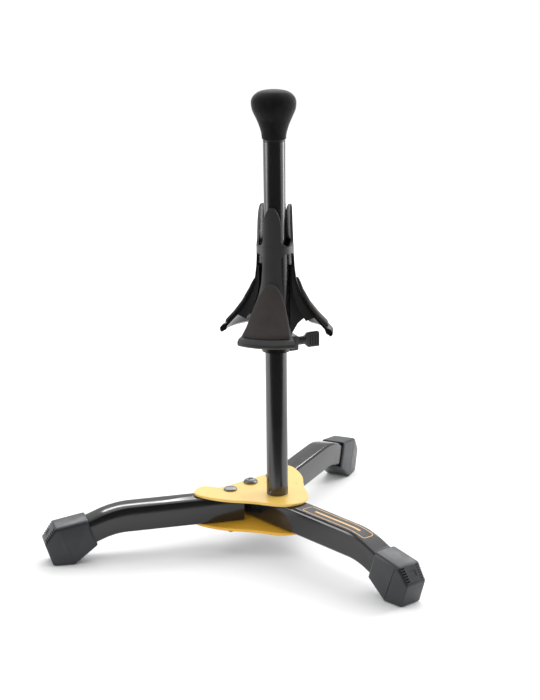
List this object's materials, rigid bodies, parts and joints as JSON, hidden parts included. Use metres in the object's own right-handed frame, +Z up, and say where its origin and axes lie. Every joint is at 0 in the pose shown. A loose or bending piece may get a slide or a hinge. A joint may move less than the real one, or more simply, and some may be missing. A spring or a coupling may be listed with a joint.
{
  "type": "trumpet stand",
  "caption": "Folding peg stand with a padded three-petal bell support that slides on the post, for a small brass instrument.",
  "frame": {"origin": "middle of the whole object's box, on the surface it stands on", "axes": "+Z up along the post; +X roughly away from the left leg; the front leg points to +X -Y and the back leg to +X +Y"},
  "size_m": [0.3061, 0.3359, 0.3875],
  "materials": {
    "yellow_coat": "glossy yellow powder coat",
    "grey_coat": "glossy black enamel",
    "post_coat": "satin dark metallic coat",
    "foot_rubber": "matte dark rubber",
    "moulded_plastic": "semi-gloss dark moulded plastic",
    "grip_plastic": "satin dark moulded plastic",
    "foam": "matte closed-cell foam",
    "velvet": "black velvet over foam",
    "zinc": "dull dark grey plating",
    "nylon": "natural nylon"
  },
  "bodies": {
    "stand": {"top_plate": "yellow_coat", "bottom_plate": "yellow_coat", "leg_front": "grey_coat", "foot_front": "foot_rubber", "bush_left": "nylon", "bush_front": "nylon", "bush_back": "nylon", "pivot_rivet_left": "zinc", "pivot_rivet_back": "zinc", "front_screw": "zinc", "front_washer": "zinc", "front_nut": "zinc", "leg_keeper_rivet": "zinc", "post_tube": "post_coat", "post_spigot": "zinc", "post_screw": "zinc", "peg_core": "moulded_plastic", "peg_cover": "velvet"},
    "left_leg": {"leg_left": "grey_coat", "foot_left": "foot_rubber"},
    "back_leg": {"leg_back": "grey_coat", "foot_back": "foot_rubber"},
    "support": {"bell_support": "moulded_plastic", "pad_front": "foam", "pad_right": "foam", "pad_left": "foam", "captive_nut": "zinc", "pressure_shoe": "nylon"},
    "thumb_screw": {"thumb_screw_grip": "grip_plastic", "thumb_screw_stud": "zinc"}
  },
  "joints": [
    {"name": "left_leg_fold", "type": "hinge", "parent": "stand", "child": "left_leg", "pos_m": [0.0056, -0.0172, 0.0337], "axis": [0, 0, 1], "range_deg": [0, 115]},
    {"name": "back_leg_fold", "type": "hinge", "parent": "stand", "child": "back_leg", "pos_m": [0.0427, 0.0136, 0.0337], "axis": [0, 0, -1], "range_deg": [0, 114.9]},
    {"name": "support_height", "type": "slide", "parent": "stand", "child": "support", "axis": [0, 0, 1], "range_m": [-0.11, 0.055]},
    {"name": "thumb_screw_turn", "type": "hinge", "parent": "support", "child": "thumb_screw", "pos_m": [0.06373, -0.02176, 0.1786], "axis": [0.9415, 0.3371, 0], "range_deg": [0, 720]}
  ]
}
